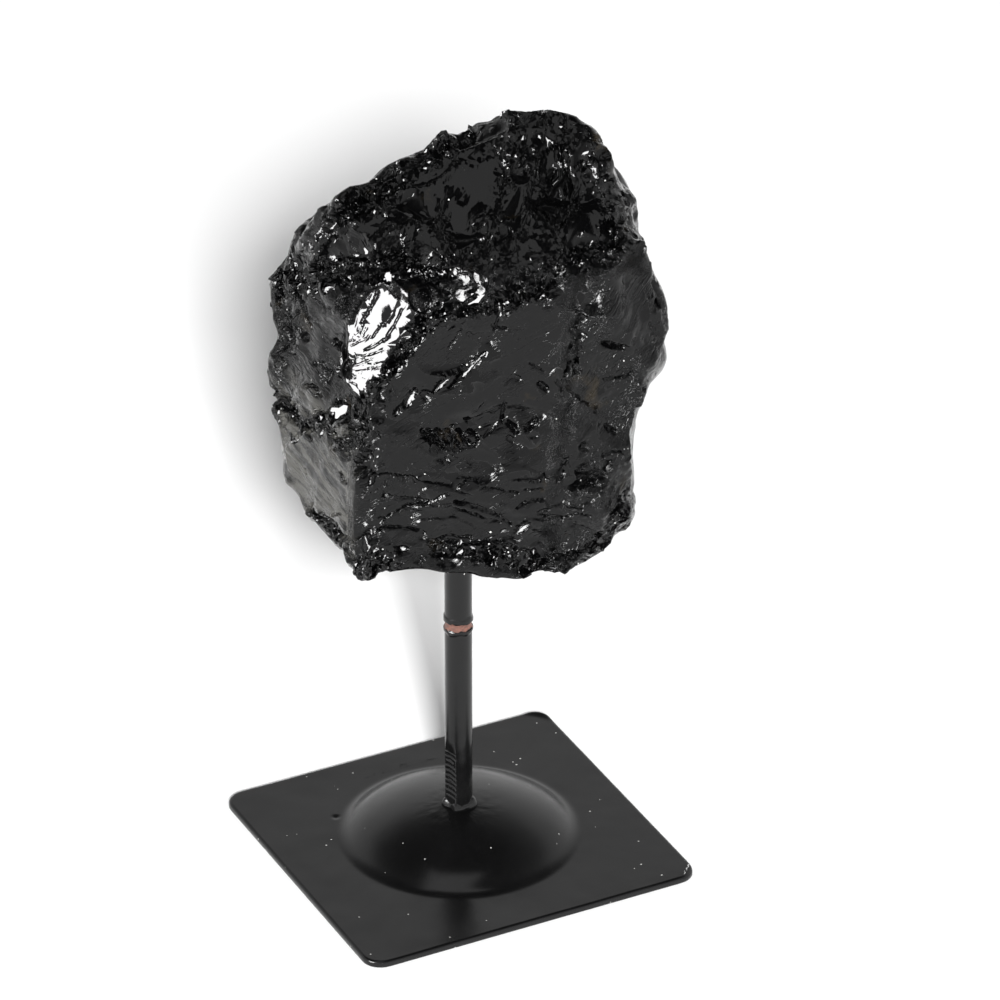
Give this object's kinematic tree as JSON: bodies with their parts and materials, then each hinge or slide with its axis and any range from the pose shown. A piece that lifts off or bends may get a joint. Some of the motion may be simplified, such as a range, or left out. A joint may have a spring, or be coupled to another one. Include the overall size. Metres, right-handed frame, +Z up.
{
  "type": "rough black tourmaline on a metal stand",
  "caption": "Rough lump of glossy black tourmaline on a black steel rod, fixed in a square pressed sheet-metal base plate with a low dome.",
  "frame": {"origin": "under the middle of the whole object's bounding box, on the surface that the plate stands on", "axes": "+Z up along the rod, +X along the longer side of the base plate, -Y toward the corner side that the stone's broad front face is turned to"},
  "size_m": [0.0842, 0.0784, 0.1732],
  "materials": {
    "stone": "glossy black broken stone with glassy faces",
    "black_paint": "satin black paint on sheet and round steel"
  },
  "bodies": {
    "root": {"stone": "stone", "rod": "black_paint", "base_plate": "black_paint"}
  },
  "joints": []
}
